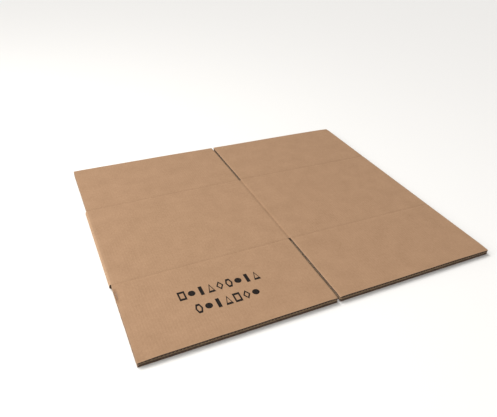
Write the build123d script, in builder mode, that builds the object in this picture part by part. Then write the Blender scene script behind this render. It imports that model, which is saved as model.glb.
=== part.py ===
"""Flattened shipping box: a square slotted carton of double-wall corrugated board, folded flat.

One sheet of board, cut, scored and glued into a sleeve with eight flaps, then pressed flat.
Two panels and their flaps lie on top of the other two.  The side folds are closed right over,
the middle score of the upper pair stays open flat, and the lower pair meets at the glued joint.

Frame: +X from fold to fold, +Y along the flutes from one row of flap ends to the other, +Z up.
Origin: on the floor under the middle of the box.
"""
import os
from math import atan2, cos, degrees, floor, radians, sin, tan

from build123d import *

# Erected box, inside sizes
inside_length = 455.0  # panels 1 and 3
inside_width = 455.0  # panels 2 and 4
inside_height = 304.0

# Double-wall board, from the inside of the box out: liner, C flute, liner, B flute, liner
liner = 0.3
medium = 0.25  # fluting paper
c_pitch = 7.8
c_height = 3.6
c_flank = 52.0  # slope of the flute sides, degrees
b_pitch = 6.5
b_height = 2.5
b_flank = 50.0

# Slots and scores
slot_width = 6.0
slot_overrun = 3.0  # the slots run this far past the flap scores
score_width = 10.0
score_depth_outside = 1.4
score_depth_inside = 1.8
score_crush = 6.5  # flutes are crushed flat this far each side of the middle score
flap_score_width = 4.0
flap_score_depth = 0.18

# Glued joint
tab_width = 37.0
tab_thickness = 2.5  # crushed board
tab_setback = 4.0  # from each flap score
tab_taper = 15.0  # degrees
joint_gap = 2.0
joint_step = 8.0  # length of the rise from panel 1 up to the tab
joint_round = 3.2  # crushed lower corner of panel 1
trim_edge = 2.0  # board left solid along the trimmed edge of panel 4

# Side folds
ply_gap = 0.4  # between the plies beside each fold
fold_wall = 3.4  # board pressed thin round the fold
fold_eye = 1.6  # radius of the small hollow inside the fold
fold_crush = 13.0  # flutes start this far in from the outside of the fold

# Sizes that follow from those above
board = 3 * liner + c_height + b_height
panel_length = inside_length + board
panel_width = inside_width + board
body_height = inside_height + 2 * board
flap = panel_width / 2
across = panel_length + panel_width
along = body_height + 2 * flap

left_fold = -across / 2
right_fold = across / 2
fold_radius = board + ply_gap / 2
left_flat = left_fold + fold_radius
right_flat = right_fold - fold_radius
left_eye = left_fold + fold_wall + fold_eye
right_eye = right_fold - fold_wall - fold_eye
fold_cut = fold_wall + 0.7 * fold_eye  # deep enough to open the hollow in the fold

score_x = left_fold + panel_length  # middle score of the upper pair
joint_x = left_fold + panel_width  # joint of the lower pair
panel_4_edge = joint_x - joint_gap / 2
panel_1_edge = joint_x + joint_gap / 2
tab_left = joint_x - tab_width
tab_root = panel_1_edge + joint_step


def lift_to_clear(x):
    """Rise at the middle score that lifts the upper pair by one tab thickness at x."""
    if x < score_x:
        return tab_thickness * (score_x - left_flat) / (x - left_flat)
    return tab_thickness * (right_flat - score_x) / (right_flat - x)


rise = max(lift_to_clear(tab_left), lift_to_clear(panel_1_edge))
upper_inner = board + ply_gap
upper_outer = upper_inner + board
ridge_inner = upper_inner + rise
ridge_outer = upper_outer + rise
left_slope = rise / (score_x - left_flat)
right_slope = rise / (right_flat - score_x)
score_left = score_x - score_width / 2
score_right = score_x + score_width / 2
left_drop = left_slope * score_width / 2
right_drop = right_slope * score_width / 2


def flute_hollow(pitch, height, flank):
    """Section of the air space under one flute, base on y = 0 and crest up."""
    slope = radians(flank)
    half_base = pitch / 4 + (height / 2 * cos(slope) - medium / 2) / sin(slope)
    half_crest = half_base - (height - medium) / tan(slope)
    with BuildSketch() as hollow:
        with BuildLine():
            Polyline(
                (-half_base, 0),
                (half_base, 0),
                (half_crest, height - medium),
                (-half_crest, height - medium),
                close=True,
            )
        make_face()
    return hollow.sketch


def flute_places(start, end, pitch, base, height):
    """Places for the hollows of one flute layer, from start to end along a board."""
    count = floor((end - start) / pitch - 0.5)
    first = (start + end - count * pitch) / 2
    under = [Location((first + i * pitch, base)) for i in range(count + 1)]
    over = [Location((first + (i + 0.5) * pitch, base + height), 180) for i in range(count)]
    return under + over


def panel_hollows(inner_start, inner_end, start, end):
    """Hollows of one panel: its inner face joins two points, with the outside to the left."""
    turn = degrees(atan2(inner_end[1] - inner_start[1], inner_end[0] - inner_start[0]))
    c_places = flute_places(start, end, c_pitch, liner, c_height)
    b_places = flute_places(start, end, b_pitch, 2 * liner + c_height, b_height)
    with BuildSketch() as hollows:
        with Locations(Location(inner_start, turn)):
            with Locations(*c_places):
                add(flute_hollow(c_pitch, c_height, c_flank))
            with Locations(*b_places):
                add(flute_hollow(b_pitch, b_height, b_flank))
    return hollows.sketch


# Glue tab: crushed board that steps up from panel 1 and lies on the inside of panel 4
tab_half = body_height / 2 - tab_setback
tab_end_half = tab_half - tab_width * tan(radians(tab_taper))
with BuildPart() as tab:
    with BuildSketch(Plane.XZ):
        with BuildLine():
            Polyline(
                (tab_left, board),
                (tab_root, board),
                (panel_1_edge, board + tab_thickness),
                (tab_left, board + tab_thickness),
                close=True,
            )
        make_face()
    extrude(amount=tab_half, both=True)
    with BuildSketch():
        with BuildLine():
            Polyline(
                (tab_left, -tab_end_half),
                (joint_x, -tab_half),
                (tab_root, -tab_half),
                (tab_root, tab_half),
                (joint_x, tab_half),
                (tab_left, tab_end_half),
                close=True,
            )
        make_face()
    extrude(amount=2 * board, mode=Mode.INTERSECT)

# Slots between the flaps, cut from both rows of flap ends
slot_length = flap + slot_overrun
slot_y = (along - slot_length) / 2
slit_middle = board + ply_gap / 2
with BuildPart() as slots:
    with Locations((0, -slot_y, 0), (0, slot_y, 0)):
        with Locations((score_x, 0, slit_middle)):
            Box(slot_width, slot_length, 2 * board, align=(Align.CENTER, Align.CENTER, Align.MIN))
        with Locations((joint_x, 0, slit_middle)):
            Box(slot_width, slot_length, 2 * board, align=(Align.CENTER, Align.CENTER, Align.MAX))
        with Locations((left_fold, 0, board), (right_fold, 0, board)):
            Box(2 * fold_cut, slot_length, 4 * board)

# Flap scores: shallow rounded grooves pressed across the flutes on the outside of the board
groove_radius = (flap_score_width**2 / 4 + flap_score_depth**2) / (2 * flap_score_depth)
groove_offset = groove_radius - flap_score_depth
panel_lines = [
    ((left_flat, upper_outer), (score_x, ridge_outer), 1),
    ((score_x, ridge_outer), (right_flat, upper_outer), 1),
    ((left_flat, 0), (right_flat, 0), -1),
]
with BuildPart() as flap_scores:
    for (x0, z0), (x1, z1), outward in panel_lines:
        for y in (-body_height / 2, body_height / 2):
            line = Plane(origin=(x0, y, z0), x_dir=(0, outward, 0), z_dir=(x1 - x0, 0, z1 - z0))
            with BuildSketch(line):
                with Locations((0, groove_offset)):
                    Circle(groove_radius)
            extrude(amount=x1 - x0)

with BuildPart() as flattened_box:
    # Section across the flutes, the same from one row of flap ends to the other
    with BuildSketch(Plane.XZ.offset(-along / 2)) as section:
        with BuildLine():
            Line((left_flat, 0), (right_flat, 0))
            ThreePointArc((right_flat, 0), (right_fold, fold_radius), (right_flat, upper_outer))
            Line((right_flat, upper_outer), (score_right, ridge_outer - right_drop))
            ThreePointArc(
                (score_right, ridge_outer - right_drop),
                (score_x, ridge_outer - score_depth_outside),
                (score_left, ridge_outer - left_drop),
            )
            Line((score_left, ridge_outer - left_drop), (left_flat, upper_outer))
            ThreePointArc((left_flat, upper_outer), (left_fold, fold_radius), (left_flat, 0))
        make_face()

        # Slit between the plies, up into the inside of the middle score
        with BuildLine():
            Polyline(
                (score_left, ridge_inner - left_drop),
                (left_flat, upper_inner),
                (left_eye, upper_inner),
                (left_eye, board),
                (right_eye, board),
                (right_eye, upper_inner),
                (right_flat, upper_inner),
                (score_right, ridge_inner - right_drop),
            )
            ThreePointArc(
                (score_right, ridge_inner - right_drop),
                (score_x, ridge_inner + score_depth_inside),
                (score_left, ridge_inner - left_drop),
            )
        make_face(mode=Mode.SUBTRACT)

        # Small hollow inside each fold
        with Locations((left_eye, fold_radius), (right_eye, fold_radius)):
            Circle(fold_eye, mode=Mode.SUBTRACT)

        # Gap between the trimmed edge of panel 4 and the crushed edge of panel 1
        arc_in = joint_round * (1 - cos(radians(45)))
        with BuildLine():
            Polyline(
                (panel_1_edge + joint_round, 0),
                (panel_4_edge, 0),
                (panel_4_edge, board),
                (panel_1_edge, board),
                (panel_1_edge, joint_round),
            )
            ThreePointArc(
                (panel_1_edge, joint_round),
                (panel_1_edge + arc_in, arc_in),
                (panel_1_edge + joint_round, 0),
            )
        make_face(mode=Mode.SUBTRACT)

        # Hollows under the flutes of panels 3, 2, 1 and 4; none where the board is crushed
        from_fold = fold_crush - fold_radius
        left_line = ((left_flat, upper_inner), (score_x, ridge_inner))
        right_line = ((score_x, ridge_inner), (right_flat, upper_inner))
        line_1 = ((right_flat, board), (panel_1_edge, board))
        line_4 = ((panel_4_edge, board), (left_flat, board))
        add(
            panel_hollows(*left_line, from_fold, score_x - left_flat - score_crush),
            mode=Mode.SUBTRACT,
        )
        add(
            panel_hollows(*right_line, score_crush, right_flat - score_x - from_fold),
            mode=Mode.SUBTRACT,
        )
        add(
            panel_hollows(*line_1, from_fold, right_flat - tab_root),
            mode=Mode.SUBTRACT,
        )
        add(
            panel_hollows(*line_4, trim_edge, panel_4_edge - left_flat - from_fold),
            mode=Mode.SUBTRACT,
        )
    extrude(amount=along)
    add(tab.part, clean=False)
    add(slots.part, mode=Mode.SUBTRACT, clean=False)
    add(flap_scores.part, mode=Mode.SUBTRACT, clean=False)

flattened_box.part.label = "flattened_box"
os.makedirs("parts", exist_ok=True)
export_step(flattened_box.part, "parts/flattened_box.step", write_pcurves=False)
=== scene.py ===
"""Looks of the flattened cardboard box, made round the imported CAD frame.

The box is one sheet of double-wall board.  Its five papers are made as five pieces, all on one
folding rule, so each lies on the next from the cut ends round the folds to the glued joint.
Sizes in the sections are millimetres; meshes are written in metres in the CAD frame.
"""
import math

import bpy
import numpy as np
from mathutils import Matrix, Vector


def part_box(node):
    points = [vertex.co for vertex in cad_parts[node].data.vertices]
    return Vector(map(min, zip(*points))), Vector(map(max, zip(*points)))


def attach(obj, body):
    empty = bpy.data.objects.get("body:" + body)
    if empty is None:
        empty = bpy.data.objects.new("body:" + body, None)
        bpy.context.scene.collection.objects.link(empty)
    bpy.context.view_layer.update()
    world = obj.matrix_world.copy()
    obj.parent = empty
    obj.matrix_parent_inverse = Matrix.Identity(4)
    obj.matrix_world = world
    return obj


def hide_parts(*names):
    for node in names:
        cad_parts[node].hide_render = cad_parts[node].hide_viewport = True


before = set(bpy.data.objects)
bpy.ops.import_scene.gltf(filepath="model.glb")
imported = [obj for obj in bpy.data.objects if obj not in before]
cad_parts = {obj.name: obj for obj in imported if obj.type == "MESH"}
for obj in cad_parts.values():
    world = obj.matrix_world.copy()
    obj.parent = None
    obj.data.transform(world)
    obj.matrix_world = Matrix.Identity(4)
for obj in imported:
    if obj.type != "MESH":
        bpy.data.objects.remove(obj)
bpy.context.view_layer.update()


# ---- Outer liner -------------------------------------------------------------------------
# The brown kraft paper on the outside of the box, about 0.3 mm thick, rolled on to the
# fluting with starch glue.  It shows the flutes faintly, and it creases and scuffs at the
# scores and folds.  It is one sheet, wrapped round the whole flattened box.

low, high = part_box("flattened_box")
ACROSS = (high[0] - low[0]) * 1000
ALONG = (high[1] - low[1]) * 1000
PANEL = ACROSS / 2
BOARD = 7.0
PLY_GAP = 0.4
FOLD_RADIUS = BOARD + PLY_GAP / 2
FOLD_WALL = 3.4
BODY_HALF = 159.0
SLOT_END = 156.0
SLOT_HALF = 3.0
FOLD_SLOT_HALF = 4.5
TAB_WIDTH = 37.0
TAB_THICKNESS = 2.5
TAB_HALF = 155.0
TAB_TAPER = math.tan(math.radians(15))
JOINT_HALF_GAP = 1.0
STEP_BEFORE, STEP_LENGTH = 9.0, 10.0  # rise of the board, from before the tab score
GLUE_LINE = 0.05
RISE = (high[2] - low[2]) * 1000 - 2 * BOARD - PLY_GAP
LEFT_SCORE, MIDDLE_SCORE, RIGHT_SCORE, TAB_SCORE = (PANEL * k for k in (1, 2, 3, 4))
SHEET_END = TAB_SCORE + TAB_WIDTH
PAPER = 0.3
B_PITCH = 6.5  # flutes right under the outer liner

# Depth pressed into the outside face, into the inside face, and reach: the middle score, the
# flap scores, the edges rolled by the knife at the flap ends and by the blades in the slots
GROOVE_OUT, GROOVE_IN, GROOVE_REACH = 1.4, 1.8, 6.5
CREASE_OUT, CREASE_IN, CREASE_REACH = 0.65, 0.75, 6.0
KNIFE_OUT, KNIFE_IN, KNIFE_REACH = 0.45, 0.35, 2.5
BLADE_OUT, BLADE_IN, BLADE_REACH = 0.5, 0.4, 2.0

# Share of the ridge that the flaps drop back by at their ends; height of the slow waves, and
# how far in from the folds they are full
FLAP_DROP = 0.72
WAVE, WAVE_FADE = 0.28, 160.0

# Reach of the creased fibre on the flap scores, on the middle score and round the folds, and
# of the cut edge; then the centre and size of the scuffed strip, from the left score
FLAP_CREASED, SCORE_CREASED, FOLD_SCUFFED, EDGE_CUT = 3.6, 4.0, 11.0, 1.2
STRIP_S, STRIP_Y, STRIP_WIDE, STRIP_LONG = 4.0, -197.0, 5.0, 22.0
FAR = 99.0  # further from a cut than its wear reaches

# Ragged cuts: how far they wander in the slots and at the flap ends
RAGGED_SLOT, RAGGED_END = 0.28, 0.16


def smooth(t):
    """Smooth step: 0 below 0, 1 above 1, and 3t^2 - 2t^3 between."""
    t = np.clip(t, 0, 1)
    return t * t * (3 - 2 * t)


def press(distance, reach):
    """Groove profile: a squared cosine, 1 on the line and 0 from the reach outwards."""
    return np.cos(np.clip(np.abs(distance) / reach, 0, 1) * math.pi / 2) ** 2


def upper_lift(ridge, x, y):
    """Height of the upper pair over the ply gap, in three parts.

    A straight rise to the middle score; each flap hinged down at its score, where no tab holds
    it up, in proportion to the distance past the score; and a spring at its free end that grows
    with the square of that distance, by its own amount for each flap.
    """
    past = np.clip((np.abs(y) - BODY_HALF) / (ALONG / 2 - BODY_HALF), 0, 1)
    side = np.clip(np.abs(x) / PANEL, 0, 1)
    front = np.where(x < 0, 0.35 - 0.25 * side, 0.9 - 0.6 * side)
    back = np.where(x < 0, 0.2 + 0.8 * side, 0.5 - 0.1 * side)
    spring = np.where(y < 0, front, back) * past**2
    return np.clip(ridge, 0, 1) * RISE * (1 - FLAP_DROP * past) + spring


def bow(x, y):
    """Slow waves left in the upper panels: two products of sines, gone at the folds."""
    edge = smooth((PANEL - np.abs(x)) / WAVE_FADE)
    wave = np.sin(x / 93 + 0.6) * np.sin(y / 121 + 1.1) + 0.6 * np.sin(x / 57 - y / 170)
    return WAVE * edge * (wave + 1.6)


# Knocks on the upper pair: place on the blank, reach across and along, depth
KNOCKS = [
    (LEFT_SCORE + 3, -ALONG / 2, 26, 22, 1.8),
    (LEFT_SCORE + 3, STRIP_Y, 8, 20, 0.9),
    (LEFT_SCORE + 3, ALONG / 2, 15, 18, 0.8),
    (MIDDLE_SCORE - 4, -ALONG / 2, 10, 12, 0.7),
    (MIDDLE_SCORE + 4, -ALONG / 2, 12, 9, 0.5),
    (RIGHT_SCORE - 3, -ALONG / 2, 16, 18, 1.0),
    (RIGHT_SCORE - 3, ALONG / 2, 20, 14, 1.2),
]


def knocked(s, y):
    """Crushed corners and edges: a sum of bell curves, each its depth at its own place."""
    return sum(deep * np.exp(-((s - at_s) / across) ** 2 - ((y - at_y) / along) ** 2)
               for at_s, at_y, across, along, deep in KNOCKS)


def in_flaps(y):
    """1 in the flaps, 0 in the body, with a smooth step 4 mm long at the slot ends."""
    return smooth((np.abs(y) - SLOT_END + 2) / 4)


def past_slot(s, fold_half):
    """Distance along the blank past the nearest slot edge; the fold cuts have their half width."""
    cuts = [np.abs(s - k) - SLOT_HALF for k in (0, MIDDLE_SCORE, TAB_SCORE)]
    return np.minimum.reduce(cuts + [np.abs(np.abs(s - MIDDLE_SCORE) - PANEL) - fold_half])


def place(s, v, y):
    """Folding rule: blank coordinates to the flattened box.

    s runs along the blank from the trimmed edge of panel 4, over panels 3 and 2, to panel 1 and
    the tab; v is 0 on the inside face and 1 on the outside; y runs along the flutes.  Panels map
    to straight plies, the two side scores to half ellipses that narrow with v, the middle score
    to a groove, and the tab to a step up on to panel 4.
    """
    ridge = 1 - np.abs(s - MIDDLE_SCORE) / (PANEL - FOLD_RADIUS)
    upper = (s > LEFT_SCORE) & (s < RIGHT_SCORE)
    x = np.where(upper, s - MIDDLE_SCORE, np.where(s <= LEFT_SCORE, -s, TAB_SCORE - s))

    groove = press(s - MIDDLE_SCORE, GROOVE_REACH)
    crease = press(np.abs(y) - BODY_HALF, CREASE_REACH)
    knife = np.exp(-(ALONG / 2 - np.abs(y)) / KNIFE_REACH)
    in_flap = in_flaps(y)
    blade = in_flap * np.exp(-np.clip(past_slot(s, SLOT_HALF), 0, None) / BLADE_REACH)
    outside = BOARD - GROOVE_OUT * groove - CREASE_OUT * crease
    outside = outside - KNIFE_OUT * knife - BLADE_OUT * blade
    outside = outside - upper * knocked(s, y)
    inside = GROOVE_IN * groove + CREASE_IN * crease + KNIFE_IN * knife + BLADE_IN * blade
    depth = inside + (outside - inside) * v

    lift = upper_lift(ridge, x, y) + bow(x, y)
    flat_z = np.where(upper, BOARD + PLY_GAP + depth + lift, BOARD - depth)

    step = smooth((s - TAB_SCORE + STEP_BEFORE) / STEP_LENGTH)
    tab_z = BOARD + GLUE_LINE + (TAB_THICKNESS - GLUE_LINE) * (1 - v)
    flat_z = flat_z + step * (tab_z - flat_z)

    side = np.where(s < MIDDLE_SCORE, s - LEFT_SCORE, RIGHT_SCORE - s)
    turn = np.clip(side / FOLD_RADIUS, -1, 1) * math.pi / 2
    reach = FOLD_RADIUS - FOLD_WALL + FOLD_WALL * v
    round_x = PANEL - FOLD_RADIUS + reach * np.cos(turn)
    round_z = FOLD_RADIUS + (PLY_GAP / 2 + BOARD * v) * np.sin(turn)
    round_x = np.where(s < MIDDLE_SCORE, -round_x, round_x)
    wrap = (np.abs(side) < FOLD_RADIUS) * (1 - in_flap)
    x = x + wrap * (round_x - x)
    z = flat_z + wrap * (round_z - flat_z)
    return np.stack([x, y, z], axis=-1) / 1000


def spread(marks, step):
    """Grid lines through every mark, evenly divided so that none is further apart than step."""
    runs = [
        np.linspace(a, b, max(1, math.ceil((b - a) / step)) + 1)[:-1]
        for a, b in zip(marks[:-1], marks[1:])
    ]
    return np.concatenate(runs + [[marks[-1]]])


def kept_cells(s, y):
    """Cells of the blank that are board: all but the slots, the glue-lap ends and the joint."""
    s, y = np.meshgrid((s[:-1] + s[1:]) / 2, (y[:-1] + y[1:]) / 2)
    flaps = np.abs(y) > SLOT_END
    slots = (s < SLOT_HALF) | (s > TAB_SCORE - SLOT_HALF)
    slots |= np.abs(s - MIDDLE_SCORE) < SLOT_HALF
    slots |= np.abs(np.abs(s - MIDDLE_SCORE) - PANEL) < FOLD_SLOT_HALF
    return ~(flaps & slots)


def rough(count, spacing, size, seed):
    """Even random wander: random values every few places, joined by straight lines."""
    draw = np.random.default_rng(seed).uniform(-1, 1, count // spacing + 2)
    return size * np.interp(np.arange(count) / spacing, np.arange(len(draw)), draw)


def wear_of(s, y):
    """Wear on the sheet: x is creasing on the scores, y scuffing round the folds, z cut edges.

    The cut edge fades with the distance from the nearest cut.  The scuffed strip is a flat-topped
    bell, the exponential of minus the sum of two fourth powers.
    """
    in_body = 1 - in_flaps(y)
    flap_score = press(np.abs(y) - BODY_HALF, FLAP_CREASED)
    panel_score = press(s - MIDDLE_SCORE, SCORE_CREASED) * in_body
    fold = press(np.abs(s - MIDDLE_SCORE) - PANEL, FOLD_SCUFFED) * in_body
    from_slot = np.clip(past_slot(s, FOLD_SLOT_HALF), 0, None)
    from_slot = np.where(in_body > 0.5, FAR, from_slot)
    edge = np.exp(-np.minimum(ALONG / 2 - np.abs(y), from_slot) / EDGE_CUT)
    upper = (s > LEFT_SCORE) & (s < RIGHT_SCORE)
    strip = ((s - LEFT_SCORE - STRIP_S) / STRIP_WIDE) ** 4 + ((y - STRIP_Y) / STRIP_LONG) ** 4
    torn = upper * np.exp(-strip)
    crushed = np.maximum(0.55 * flap_score, panel_score)
    crushed = crushed + upper * knocked(s, y) / 4 + 2.4 * torn
    return np.stack([crushed, fold, edge * (1 - torn)], axis=-1)


def paper_piece(name, s_lines, y_lines, middle, thickness, seed, recess=0.0):
    """One paper of the board as a closed thin sheet.

    Grid of s by y.  middle(s) gives the paper's mid-height in the board and its slope, and the
    two faces stand half a thickness to each side of it, square to the paper.  The cut edges
    wander a little and stand back by the recess.
    """
    s, y = np.meshgrid(s_lines, y_lines)
    rows, columns = s.shape
    lap = np.clip((s - TAB_SCORE) / TAB_WIDTH, 0, 1)
    y = np.where(np.abs(y) <= SLOT_END, y * (1 - lap * TAB_WIDTH * TAB_TAPER / TAB_HALF), y)
    for k, edge in enumerate(SLOT_EDGES):
        column = int(np.argmin(np.abs(s_lines - edge)))
        inward = 1.0 if k % 2 == 0 else -1.0
        shift = inward * recess + rough(rows, 1, RAGGED_SLOT, seed + k)
        s[:, column] += np.where(np.abs(y_lines) > SLOT_END + 0.1, shift, 0)
    for row, sign in ((0, 1), (-1, -1)):
        y[row] += sign * recess + rough(columns, 3, RAGGED_END, seed + 40 + sign)

    height, slope = middle(s)
    length = np.hypot(1, slope)
    ds, dv = -slope / length * thickness / 2, thickness / 2 / length
    tops = place(s + ds, (height + dv) / BOARD, y).reshape(-1, 3)
    bottoms = place(s - ds, (height - dv) / BOARD, y).reshape(-1, 3)
    blank = np.stack([s, y, height], axis=-1).reshape(-1, 3) / 1000

    keep = kept_cells(s_lines, y_lines)
    index = np.arange(rows * columns).reshape(rows, columns)
    a, b, c, d = index[:-1, :-1], index[:-1, 1:], index[1:, 1:], index[1:, :-1]
    under = rows * columns
    faces = [np.stack([a, b, c, d], -1)[keep], np.stack([d, c, b, a], -1)[keep] + under]
    ring = np.pad(keep, 1)
    sides = [
        (a, b, ring[:-2, 1:-1]),
        (b, c, ring[1:-1, 2:]),
        (c, d, ring[2:, 1:-1]),
        (d, a, ring[1:-1, :-2]),
    ]
    for p, q, next_cell in sides:
        edge = keep & ~next_cell
        faces.append(np.stack([q, p, p + under, q + under], -1)[edge])
    faces = np.concatenate(faces)
    used, faces = np.unique(faces, return_inverse=True)
    faces = faces.reshape(-1, 4)
    wear = wear_of(s, y).reshape(-1, 3)
    return solid_piece(name, np.concatenate([tops, bottoms])[used], faces,
                       np.concatenate([blank, blank])[used], np.concatenate([wear, wear])[used])


def solid_piece(name, points, faces, blank, wear):
    """Object from arrays of points and four-cornered faces, with each point's place and wear."""
    mesh = bpy.data.meshes.new(name)
    mesh.vertices.add(len(points))
    mesh.vertices.foreach_set("co", points.astype(np.float32).ravel())
    mesh.loops.add(faces.size)
    mesh.loops.foreach_set("vertex_index", faces.astype(np.int32).ravel())
    mesh.polygons.add(len(faces))
    mesh.polygons.foreach_set("loop_start", np.arange(0, faces.size, 4, dtype=np.int32))
    mesh.update(calc_edges=True)
    mesh.validate()
    mesh.polygons.foreach_set("use_smooth", np.ones(len(mesh.polygons), dtype=bool))
    mesh.set_sharp_from_angle(angle=math.radians(48))
    for attribute, values in (("sheet", blank), ("wear", wear)):
        layer = mesh.attributes.new(attribute, "FLOAT_VECTOR", "POINT")
        layer.data.foreach_set("vector", values.astype(np.float32).ravel())
    piece = bpy.data.objects.new(name, mesh)
    bpy.context.scene.collection.objects.link(piece)
    return piece


def linear(hex_colour):
    """sRGB hex colour to linear light: the standard curve, channel by channel."""
    parts = [int(hex_colour[k:k + 2], 16) / 255 for k in (1, 3, 5)]
    return [p / 12.92 if p <= 0.04045 else ((p + 0.055) / 1.055) ** 2.4 for p in parts] + [1.0]


def node(material, kind, settings=None, **inputs):
    """Adds one node; settings are its properties, inputs are values or sockets to link.

    An input goes by its name, or by n and its number where several share a name.
    """
    made = material.node_tree.nodes.new(kind)
    for key, value in (settings or {}).items():
        setattr(made, key, value)
    for key, value in inputs.items():
        by_number = key[0] == "n" and key[1:].isdigit()
        socket = made.inputs[int(key[1:]) if by_number else key]
        if isinstance(value, bpy.types.NodeSocket):
            material.node_tree.links.new(value, socket)
        else:
            socket.default_value = value
    return made


def new_material(name):
    """Empty node material."""
    material = bpy.data.materials.new(name)
    material.use_nodes = True
    material.node_tree.nodes.clear()
    return material


def from_mesh(m, attribute):
    """Socket of a vector stored on the mesh."""
    return node(m, "ShaderNodeAttribute", {"attribute_name": attribute}).outputs["Vector"]


def span(m, value, low, high, to_low, to_high):
    """Straight map of a value from low..high to another range, held at its ends."""
    return node(m, "ShaderNodeMapRange", Value=value,
                n1=low, n2=high, n3=to_low, n4=to_high).outputs[0]


def reckon(m, operation, *values):
    """One arithmetic step on values or sockets."""
    values = {f"n{k}": value for k, value in enumerate(values)}
    return node(m, "ShaderNodeMath", {"operation": operation}, **values).outputs[0]


def blend(m, share, first, second):
    """Mix of two colours: the first at a share of 0, the second at 1."""
    return node(m, "ShaderNodeMix", {"data_type": "RGBA"},
                n0=share, n6=first, n7=second).outputs[2]


def flute_wave(m, sheet):
    """Cosine along the blank, once for each flute under the outer liner."""
    split = node(m, "ShaderNodeSeparateXYZ", Vector=sheet)
    phase = reckon(m, "MULTIPLY", split.outputs[0], 2 * math.pi / (B_PITCH / 1000))
    return reckon(m, "COSINE", phase)


def matt_surface(m, colour, shine, **inputs):
    """Principled shader of one colour and a weak shine, joined to the output."""
    shader = node(m, "ShaderNodeBsdfPrincipled", **inputs)
    m.node_tree.links.new(colour, shader.inputs["Base Color"])
    shader.inputs["Specular IOR Level"].default_value = shine
    node(m, "ShaderNodeOutputMaterial", Surface=shader.outputs[0])
    return m


def kraft_liner(name, light, dark, fleck, pale, cut, seed):
    """Kraft liner: rolled unbleached wood fibre, matt, cloudy, flecked, lined by the flutes."""
    m = new_material(name)
    sheet = from_mesh(m, "sheet")
    shifted = node(m, "ShaderNodeMapping", Vector=sheet, Location=(seed, seed * 0.7, 0)).outputs[0]
    flat = node(m, "ShaderNodeMapping", Vector=shifted, Scale=(1, 1, 0)).outputs[0]
    # Cloudy formation, 45 mm across, and finer mottle, 7 mm
    cloud = node(m, "ShaderNodeTexNoise", Vector=flat, Scale=22.0, Detail=3.0, Roughness=0.55)
    mottle = node(m, "ShaderNodeTexNoise", Vector=flat, Scale=150.0, Detail=4.0, Roughness=0.65)
    # Fibres run mainly along the machine direction, across the flutes: 2.5 mm by 0.5 mm
    along = node(m, "ShaderNodeMapping", Vector=flat, Scale=(400, 1900, 1)).outputs[0]
    fibre = node(m, "ShaderNodeTexNoise", Vector=along, Scale=1.0, Detail=2.0, Roughness=0.6)
    specks = node(m, "ShaderNodeTexNoise", Vector=along, Scale=0.55, Detail=1.0, Roughness=0.5)
    tone = span(m, cloud.outputs["Fac"], 0.3, 0.7, 0.0, 0.24)
    grain = span(m, mottle.outputs["Fac"], 0.3, 0.7, 0.0, 0.26)
    hair = span(m, fibre.outputs["Fac"], 0.3, 0.7, -0.05, 0.5)
    shade = reckon(m, "ADD", reckon(m, "ADD", tone, grain), hair)
    colour = blend(m, shade, linear(light), linear(dark))
    colour = blend(m, span(m, specks.outputs["Fac"], 0.68, 0.78, 0.0, 0.55), colour, linear(fleck))
    # Flute lines: one faint darker line and hollow for each flute
    wave = flute_wave(m, sheet)
    colour = blend(m, span(m, wave, -1.0, 1.0, 0.0, 0.05), colour, linear(dark))
    # Creases: crushed fibre, darker and broken; folds: raised pale fibre; cut edges: cut fibre and
    # painted light
    wear = node(m, "ShaderNodeSeparateXYZ", Vector=from_mesh(m, "wear"))
    broken = span(m, mottle.outputs["Fac"], 0.35, 0.65, 0.16, 0.4)
    colour = blend(m, reckon(m, "MULTIPLY", wear.outputs[0], broken), colour, linear(fleck))
    raised = span(m, fibre.outputs["Fac"], 0.45, 0.65, 0.0, 0.6)
    colour = blend(m, reckon(m, "MULTIPLY", wear.outputs[1], raised), colour, linear(pale))
    # Cut edges: the cut colour is the cut fibre's tone and, near the edges, painted light: a
    # painted highlight on the outside liner, painted shade on the inside liner
    colour = blend(m, reckon(m, "MULTIPLY", wear.outputs[2], 0.7), colour, linear(cut))
    # Relief: the fibres and the flute lines together, 0.12 mm to each unit of height
    heights = reckon(m, "MULTIPLY_ADD", wave, 1.2, fibre.outputs["Fac"])
    bump = node(m, "ShaderNodeBump", Height=heights, Strength=0.28, Distance=0.00012)
    dullness = span(m, mottle.outputs["Fac"], 0.3, 0.7, 0.78, 0.92)
    return matt_surface(m, colour, 0.25, Roughness=dullness, IOR=1.47, Normal=bump.outputs[0])


# Cut edges, and the grid lines that catch each fold, score and step
SLOT_EDGES = [
    SLOT_HALF, LEFT_SCORE - FOLD_SLOT_HALF,
    LEFT_SCORE + FOLD_SLOT_HALF, MIDDLE_SCORE - SLOT_HALF,
    MIDDLE_SCORE + SLOT_HALF, RIGHT_SCORE - FOLD_SLOT_HALF,
    RIGHT_SCORE + FOLD_SLOT_HALF, TAB_SCORE - SLOT_HALF,
]
FOLD_MARKS = [-14.0, -FOLD_RADIUS, -6.3, -5.4, -FOLD_SLOT_HALF, -3.2, -1.6, 0.0,
              1.6, 3.2, FOLD_SLOT_HALF, 5.4, 6.3, FOLD_RADIUS, 14.0]
SCORE_MARKS = [-9.0, -6.5, -5.2, -4.0, -SLOT_HALF, -1.5, 0.0,
               1.5, SLOT_HALF, 4.0, 5.2, 6.5, 9.0]
TAB_MARKS = [-14.0, -9.0, -7.5, -6.0, -4.5, -SLOT_HALF, -1.5, 0.0, 1.5, 4.0]
liner_columns = spread(
    [JOINT_HALF_GAP, 2.0, SLOT_HALF, 5.0, 8.0, 14.0]
    + [LEFT_SCORE + k for k in FOLD_MARKS]
    + [MIDDLE_SCORE + k for k in SCORE_MARKS]
    + [RIGHT_SCORE + k for k in FOLD_MARKS]
    + [TAB_SCORE + k for k in TAB_MARKS]
    + [SHEET_END],
    14.0,
)
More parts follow.
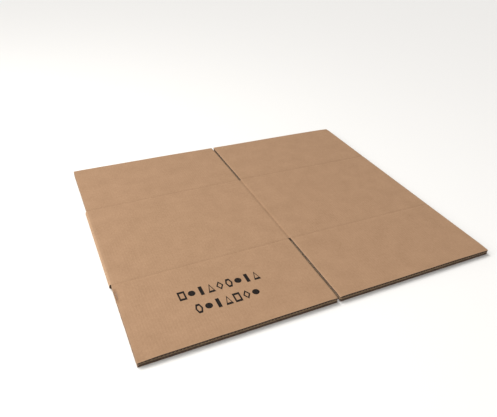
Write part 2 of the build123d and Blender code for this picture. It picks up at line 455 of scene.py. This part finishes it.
half_rows = np.concatenate([
    spread([0.0, 145.0], 24)[:-1],
    [145.0, 151.0, 153.5, SLOT_END, 157.5, BODY_HALF, 160.5, 162.0, 164.5],
    spread([170.0, 376.0], 5.5)[:-1],
    [376.0, 381.0, 384.5, 387.0, 388.7, ALONG / 2],
])
liner_rows = np.concatenate([-half_rows[:0:-1], half_rows])


def flat_paper(height):
    """Mid-height of a liner: the same all over, with no slope."""
    return lambda s: (np.full_like(s, height), np.zeros_like(s))


outer_liner = paper_piece("outer_liner", liner_columns, liner_rows, flat_paper(BOARD - PAPER / 2),
                          PAPER, seed=100)
# The cut colour is a little lighter than the liner: cut fibre, and partly a painted highlight
# along the cut edges
outer_liner.data.materials.append(
    kraft_liner("kraft_liner_outside", light="#b18e70", dark="#937357", fleck="#7a5b43",
                pale="#d3bb9f", cut="#ad8d70", seed=0.0))
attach(outer_liner, "root")
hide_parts("flattened_box")


# ---- B fluting ---------------------------------------------------------------------------
# The finer wave under the outer liner: recycled fluting paper, 0.25 mm thick, gathered into
# flutes 6.5 mm apart and 2.5 mm high.  It shows at the cut ends and in the slots.

FLUTING = 0.25
B_LOW, B_HIGH = 4.2, 6.7
FLUTE_RECESS = 0.35  # the fluting stands this far back from the cut ends of the liners


def fluted_paper(bottom, top, pitch):
    """Mid-height of a flute: a sine between two liners, and its slope."""
    swing = (top - bottom - FLUTING) / 2
    turn = 2 * math.pi / pitch
    return lambda s: ((bottom + top) / 2 - swing * np.cos(turn * s),
                      swing * turn * np.sin(turn * s))


def flute_columns(pitch, steps):
    """Grid lines, so many steps to a flute, and through every cut edge of the blank."""
    even = np.arange(JOINT_HALF_GAP, SHEET_END, pitch / steps)
    marks = np.array([JOINT_HALF_GAP, SHEET_END] + SLOT_EDGES)
    gap = np.abs(even[:, None] - marks[None, :]).min(axis=1)
    return np.sort(np.concatenate([even[gap > pitch / 20], marks]))


half_flute_rows = np.array([60.0, 152.0, SLOT_END, BODY_HALF, 162.0, 165.5, 270.0, 375.0, 387.0,
                            ALONG / 2])
flute_rows = np.concatenate([-half_flute_rows[::-1], half_flute_rows])


def fluting_paper(name, light, dark):
    """Fluting paper: recycled fibre, greyer and coarser than the liner, matt, with no shine."""
    m = new_material(name)
    mottle = node(m, "ShaderNodeTexNoise", Vector=from_mesh(m, "sheet"),
                  Scale=260.0, Detail=4.0, Roughness=0.7).outputs["Fac"]
    colour = blend(m, span(m, mottle, 0.3, 0.7, 0.0, 1.0), linear(light), linear(dark))
    bump = node(m, "ShaderNodeBump", Height=mottle, Strength=0.4, Distance=0.0001)
    return matt_surface(m, colour, 0.15, Roughness=0.95, IOR=1.47, Normal=bump.outputs[0])


fluting = fluting_paper("recycled_fluting", "#917c71", "#6b5a50")
b_fluting = paper_piece("b_fluting", flute_columns(B_PITCH, 8), flute_rows,
                        fluted_paper(B_LOW, B_HIGH, B_PITCH), FLUTING, seed=200,
                        recess=FLUTE_RECESS)
b_fluting.data.materials.append(fluting)
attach(b_fluting, "root")
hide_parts("flattened_box")


# ---- Middle liner ------------------------------------------------------------------------
# The plain paper between the two rows of flutes, 0.3 mm thick and of the same recycled fibre
# as the fluting.  Both rows are glued to it with starch, and it shows only at the cut ends.

MIDDLE_HEIGHT, MIDDLE_RECESS = 4.05, 0.15
middle_liner = paper_piece("middle_liner", liner_columns, liner_rows, flat_paper(MIDDLE_HEIGHT),
                           PAPER, seed=300, recess=MIDDLE_RECESS)
middle_liner.data.materials.append(fluting)
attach(middle_liner, "root")
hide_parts("flattened_box")


# ---- C fluting ---------------------------------------------------------------------------
# The coarser wave towards the inside of the box: flutes 7.8 mm apart and 3.6 mm high, in the
# same paper as the B flutes, glued between the middle liner and the inner one.

C_LOW, C_HIGH, C_PITCH = 0.3, 3.9, 7.8
c_fluting = paper_piece("c_fluting", flute_columns(C_PITCH, 10), flute_rows,
                        fluted_paper(C_LOW, C_HIGH, C_PITCH), FLUTING, seed=400,
                        recess=FLUTE_RECESS)
c_fluting.data.materials.append(fluting)
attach(c_fluting, "root")
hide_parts("flattened_box")


# ---- Inner liner -------------------------------------------------------------------------
# The paler test liner on the inside of the box, 0.3 mm thick.  While the box is flat it shows
# only at its cut edges, along the slit between the plies and down through the slots.

inner_liner = paper_piece("inner_liner", liner_columns, liner_rows, flat_paper(PAPER / 2),
                          PAPER, seed=500)
# The cut colour is much darker than the liner: cut fibre, and partly painted shade on the cut
# edges and on the face next to them, seen in the slit between the plies and down the slots
inner_liner.data.materials.append(
    kraft_liner("test_liner_inside", light="#e0c9a9", dark="#d2b894", fleck="#b49772",
                pale="#efe2cc", cut="#8d745c", seed=3.1))
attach(inner_liner, "root")
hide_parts("flattened_box")


# ---- Printed marks -----------------------------------------------------------------------
# Two rows of plain shapes in black flexographic ink on the front left flap, where such boxes
# are marked.  The ink is a film on the kraft paper, thinner between the flutes.

INK = 0.05
MARK_WIDTH, MARK_HEIGHT, MARK_PITCH = 17.0, 28.0, 22.4
# Where each row's middle is, and its shapes: O disc, I bar, and the outlines below
ROWS_OF_MARKS = [(-233.0, -303.0, "HOITSDO"), (-233.0, -253.5, "SOITDHOIT")]
# Outlines by number of sides and turn: triangle, square, hexagon, diamond
OUTLINES = {"T": (3, 0.0), "S": (4, 45.0), "H": (6, 30.0), "D": (4, 0.0)}


def outline(sides, turn, steps=48):
    """Regular polygon about its centre: radius cos(pi/n) / cos(angle folded into one side)."""
    angle = np.arange(steps) * 2 * math.pi / steps
    part = 2 * math.pi / sides
    radius = math.cos(part / 2) / np.cos(angle % part - part / 2)
    heading = angle + math.radians(turn) + math.pi / 2
    shape = np.stack([radius * np.cos(heading), radius * np.sin(heading)], axis=-1)
    lowest, highest = shape.min(axis=0), shape.max(axis=0)
    return (2 * shape - lowest - highest) / (highest - lowest)


def mark_grid(letter):
    """Plan of one mark, in half widths and half heights.

    A bar or a disc is a stack of chords, up as the sine of an angle and, for the disc, as wide
    as its cosine.  The others are a band inside an outline.
    """
    if letter in "IO":
        turn = np.linspace(-1.5, 1.5, 13)
        up, across = np.meshgrid(np.sin(turn), np.linspace(-1, 1, 5), indexing="ij")
        if letter == "I":
            return np.stack([across * 0.5, up], axis=-1), False
        across = across * np.cos(turn)[:, None]
        return np.stack([across, up * MARK_WIDTH / MARK_HEIGHT], axis=-1), False
    ring = outline(*OUTLINES[letter])
    band = np.linspace(0.56, 1, 4)
    return ring[:, None, :] * band[None, :, None], True


def mark_mesh(centre_x, centre_y, letter):
    """Closed film of ink: the plan, from INK under the outer liner's face to INK above it."""
    plan, closed = mark_grid(letter)
    s = MIDDLE_SCORE + centre_x + plan[..., 0] * MARK_WIDTH / 2
    y = centre_y + plan[..., 1] * MARK_HEIGHT / 2
    rows, columns = s.shape
    tops = place(s, 1 + INK / BOARD + 0 * s, y).reshape(-1, 3)
    bottoms = place(s, 1 - INK / BOARD + 0 * s, y).reshape(-1, 3)
    index = np.arange(rows * columns).reshape(rows, columns)
    following = np.roll(index, -1, axis=0) if closed else index[1:]
    index = index if closed else index[:-1]
    under = rows * columns
    a, b, c, d = index[:, :-1], index[:, 1:], following[:, 1:], following[:, :-1]
    quads = [np.stack([a, b, c, d], -1), np.stack([d, c, b, a], -1) + under]
    walls = [(d[:, 0], a[:, 0]), (b[:, -1], c[:, -1])]
    if not closed:
        walls += [(a[0], b[0]), (c[-1], d[-1])]
    quads += [np.stack([q, p, p + under, q + under], -1) for p, q in walls]
    blank = np.stack([s, y, 0 * s + BOARD], axis=-1).reshape(-1, 3) / 1000
    faces = np.concatenate([q.reshape(-1, 4) for q in quads])
    return np.concatenate([tops, bottoms]), faces, np.concatenate([blank, blank])


def flexo_ink(name, black, paper):
    """Flexographic ink: matt black film, starved between the flutes and at rough fibres."""
    m = new_material(name)
    sheet = from_mesh(m, "sheet")
    speckle = node(m, "ShaderNodeTexNoise", Vector=sheet, Scale=900.0, Detail=3.0, Roughness=0.7)
    starved = reckon(m, "MULTIPLY_ADD", flute_wave(m, sheet), 0.06, speckle.outputs["Fac"])
    gap = span(m, starved, 0.54, 0.76, 0.0, 0.4)
    colour = blend(m, gap, linear(black), linear(paper))
    return matt_surface(m, colour, 0.15, Roughness=0.7, IOR=1.5)


mark_parts, points_so_far = [], 0
for row_x, row_y, letters in ROWS_OF_MARKS:
    for k, letter in enumerate(letters):
        x = row_x + (k - (len(letters) - 1) / 2) * MARK_PITCH
        points, faces, blank = mark_mesh(x, row_y, letter)
        mark_parts.append((points, faces + points_so_far, blank))
        points_so_far += len(points)
points, faces, blank = (np.concatenate(part) for part in zip(*mark_parts))
ink_marks = solid_piece("ink_marks", points, faces, blank, 0 * blank)
ink_marks.data.materials.append(flexo_ink("black_flexo_ink", "#120e0c", "#6f5540"))
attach(ink_marks, "root")


# ---- Floor, lights and camera ------------------------------------------------------------
# A plain pale studio floor under an even pale sky, with one soft key light from the back left
# and a weak light panel at the left.

FLOOR_HALF, FLOOR_Z = 9, -2e-4
corners = [(-1, -1), (1, -1), (1, 1), (-1, 1)]
floor_mesh = bpy.data.meshes.new("floor")
floor_mesh.from_pydata([(x * FLOOR_HALF, y * FLOOR_HALF, FLOOR_Z) for x, y in corners], [],
                       [(0, 1, 2, 3)])
floor = bpy.data.objects.new("floor", floor_mesh)
bpy.context.scene.collection.objects.link(floor)
paint = new_material("pale_floor")
paint_shader = node(paint, "ShaderNodeBsdfPrincipled", Roughness=0.9)
paint_shader.inputs["Base Color"].default_value = linear("#f2f1ef")
node(paint, "ShaderNodeOutputMaterial", Surface=paint_shader.outputs[0])
floor.data.materials.append(paint)

key = bpy.data.lights.new("key_light", "SUN")
key.energy, key.angle = 1.95, math.radians(28)
key.color = linear("#fffdfb")[:3]
key_holder = bpy.data.objects.new("key_light", key)
bpy.context.scene.collection.objects.link(key_holder)
key_holder.rotation_mode = "QUATERNION"
key_holder.rotation_quaternion = Vector((-0.34, 0.66, 1.0)).to_track_quat("Z", "Y")

panel = bpy.data.lights.new("side_panel", "AREA")
panel.size, panel.energy, panel.color = 1.6, 25.0, linear("#fffdf8")[:3]
panel_holder = bpy.data.objects.new("side_panel", panel)
bpy.context.scene.collection.objects.link(panel_holder)
panel_holder.location = (-1.7, 0.1, 1.3)
panel_holder.rotation_mode = "QUATERNION"
panel_holder.rotation_quaternion = Vector((-1.4, 0.1, 1.3)).to_track_quat("Z", "Y")

world = bpy.data.worlds.new("studio")
bpy.context.scene.world = world
world.use_nodes = True
world.node_tree.nodes.clear()
sky = node(world, "ShaderNodeBackground", Color=linear("#ffffff"), Strength=0.45).outputs[0]
backdrop = node(world, "ShaderNodeBackground", Color=linear("#fbfaf8"), Strength=0.93).outputs[0]
seen = node(world, "ShaderNodeLightPath").outputs["Is Camera Ray"]
shown = node(world, "ShaderNodeMixShader", n0=seen, n1=sky, n2=backdrop).outputs[0]
node(world, "ShaderNodeOutputWorld", Surface=shown)

lens = bpy.data.cameras.new("camera")
lens.lens, lens.sensor_width = 35.64, 36.0
camera = bpy.data.objects.new("camera", lens)
bpy.context.scene.collection.objects.link(camera)
camera.location = (-0.5487, -1.0205, 0.7850)
camera.rotation_euler = [math.radians(k) for k in (56.101, -2.297, -24.744)]
bpy.context.scene.camera = camera
bpy.context.scene.view_settings.view_transform = "Standard"
